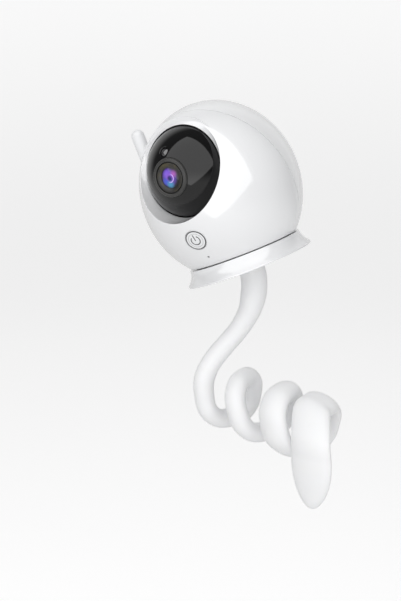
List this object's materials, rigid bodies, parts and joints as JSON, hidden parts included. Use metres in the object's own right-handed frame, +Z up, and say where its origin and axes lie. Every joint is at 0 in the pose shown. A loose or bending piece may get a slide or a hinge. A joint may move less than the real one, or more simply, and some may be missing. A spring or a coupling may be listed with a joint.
{
  "type": "baby monitor camera",
  "caption": "Egg-shaped pan and tilt baby monitor camera with a dark eyeball lens, folding antenna and flared base, on a bendable silicone arm coiled for a crib rail.",
  "frame": {"origin": "middle of the coil, on the centre line of the rail that the arm is wound round", "axes": "+X along the rail, +Z up, -Y towards the front of the rail, where the arm comes down and its tail hangs"},
  "size_m": [0.1771, 0.0981, 0.2162],
  "materials": {
    "arm_silicone": "matte moulded silicone",
    "steel": "plain",
    "brass": "turned",
    "white_gloss": "high gloss moulded",
    "white_satin": "satin",
    "white_inner": "moulded, unpolished",
    "gear_plastic": "natural acetal",
    "black_matte": "fine texture",
    "eye_gloss": "high gloss black",
    "lens_ring": "satin black",
    "lens_glass": "coated glass",
    "sensor_glass": "dark clear plastic",
    "circuit_board": "solder mask"
  },
  "bodies": {
    "arm": {"arm_sleeve": "arm_silicone", "arm_core": "steel"},
    "neck": {"neck_sleeve": "arm_silicone", "neck_core": "steel", "arm_ferrule": "steel", "arm_insert": "brass", "base_skirt": "white_gloss", "base_plate": "white_inner", "base_screws": "steel", "pan_post": "steel", "post_screws": "steel", "pan_gear": "gear_plastic", "retaining_ring": "steel"},
    "head": {"turntable": "white_inner", "pan_bush": "gear_plastic", "turntable_screws": "steel", "front_shell": "white_gloss", "rear_shell": "white_gloss", "tilt_frame": "black_matte", "pan_motor": "steel", "pan_motor_screws": "steel", "tilt_motor": "steel", "main_board": "circuit_board", "power_socket": "steel", "speaker": "black_matte", "button_board": "circuit_board", "button_switch": "black_matte", "microphone": "steel"},
    "pan_pinion": {"pan_pinion": "gear_plastic"},
    "eye": {"eye_front": "eye_gloss", "eye_rear": "eye_gloss", "lens_bezel": "lens_ring", "lens_barrel": "steel", "lens_glass": "lens_glass", "sensor_window": "sensor_glass", "image_board": "circuit_board", "tilt_gear": "gear_plastic"},
    "tilt_pinion": {"tilt_pinion": "gear_plastic"},
    "antenna": {"antenna": "white_satin", "antenna_clip": "steel"},
    "button": {"power_button": "white_satin"}
  },
  "joints": [
    {"name": "neck_bend", "type": "hinge", "parent": "arm", "child": "neck", "pos_m": [-0.03, 0.0096, 0.0535], "axis": [1, 0, 0], "range_deg": [-25, 25]},
    {"name": "pan", "type": "hinge", "parent": "neck", "child": "head", "pos_m": [-0.03743, 0.01198, 0.09057], "axis": [-0.344, -0.1783, 0.9219], "range_deg": [-175, 175]},
    {"name": "pan_pinion_spin", "type": "hinge", "parent": "head", "child": "pan_pinion", "pos_m": [-0.04449, 0.0304, 0.09616], "axis": [-0.344, -0.1783, 0.9219], "range_deg": [-455, 455]},
    {"name": "tilt", "type": "hinge", "parent": "head", "child": "eye", "pos_m": [-0.05074, -0.01508, 0.1384], "axis": [-0.8967, -0.2287, -0.3789], "range_deg": [-24, 40]},
    {"name": "tilt_pinion_spin", "type": "hinge", "parent": "head", "child": "tilt_pinion", "pos_m": [-0.06122, 0.02095, 0.14146], "axis": [-0.8967, -0.2287, -0.3789], "range_deg": [-235, 145]},
    {"name": "antenna_fold", "type": "hinge", "parent": "head", "child": "antenna", "pos_m": [-0.0983, 0.00551, 0.10782], "axis": [-0.9373, 0.0062, -0.3486], "range_deg": [-15, 90]},
    {"name": "button_press", "type": "slide", "parent": "head", "child": "button", "axis": [-0.3846, 0.8264, 0.4112], "range_m": [0, 0.0008], "stiffness_N_per_m": 900, "springref_m": -0.0002}
  ],
  "couplings": [
    {"joint": "pan_pinion_spin", "follows": "pan", "ratio": 2.5714},
    {"joint": "tilt_pinion_spin", "follows": "tilt", "ratio": -5.7143}
  ]
}
